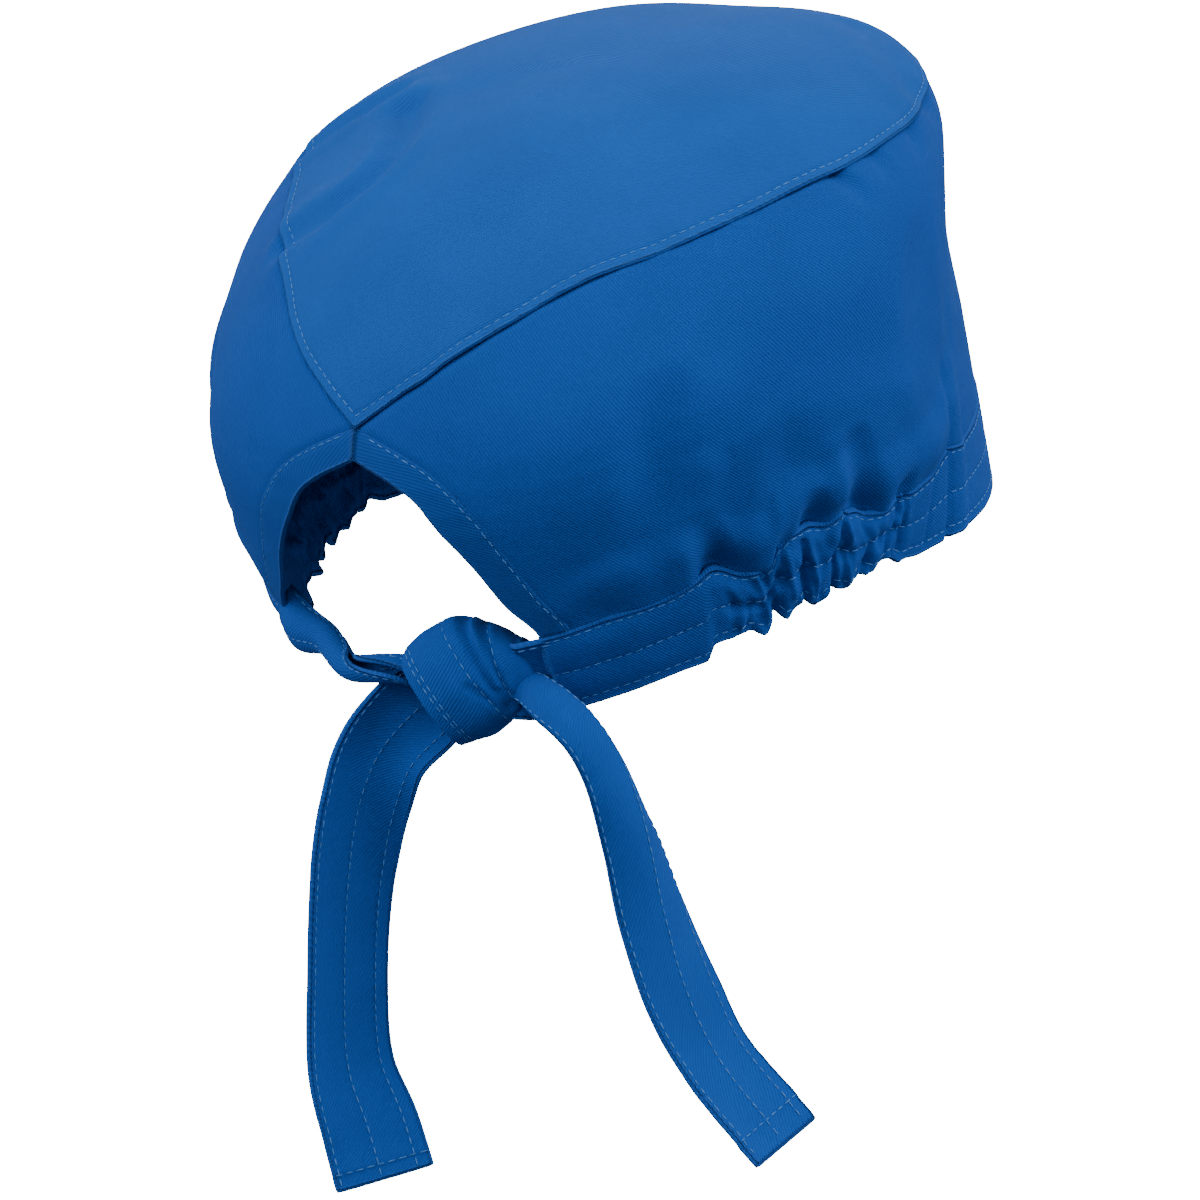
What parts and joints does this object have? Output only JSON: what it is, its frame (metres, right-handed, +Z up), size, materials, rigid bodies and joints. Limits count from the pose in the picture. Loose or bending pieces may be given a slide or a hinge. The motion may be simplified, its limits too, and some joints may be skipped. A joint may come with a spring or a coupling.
{
  "type": "scrub cap",
  "caption": "Tie-back cloth scrub cap with a teardrop crown, a wrap-round side panel, an elasticated hem band, a keyhole at the nape and knotted ties.",
  "frame": {"origin": "middle of the head opening, level with the lower edge of the band over the ears", "axes": "+Z up, -Y towards the forehead, -X towards the wearer's right"},
  "size_m": [0.2058, 0.2187, 0.2987],
  "materials": {
    "panel_twill": "royal blue polyester-cotton twill, soft and matt",
    "binding_twill": "royal blue twill cut on the other grain, matt",
    "band_twill": "royal blue twill in several layers, edge-stitched, matt"
  },
  "bodies": {
    "root": {"crown_panel": "panel_twill", "side_panel": "panel_twill", "opening_binding_right": "binding_twill", "opening_binding_left": "binding_twill", "hem_band": "band_twill", "tie_right": "band_twill", "tie_left": "band_twill", "knot": "band_twill", "tail_right": "band_twill", "tail_left": "band_twill"}
  },
  "joints": []
}
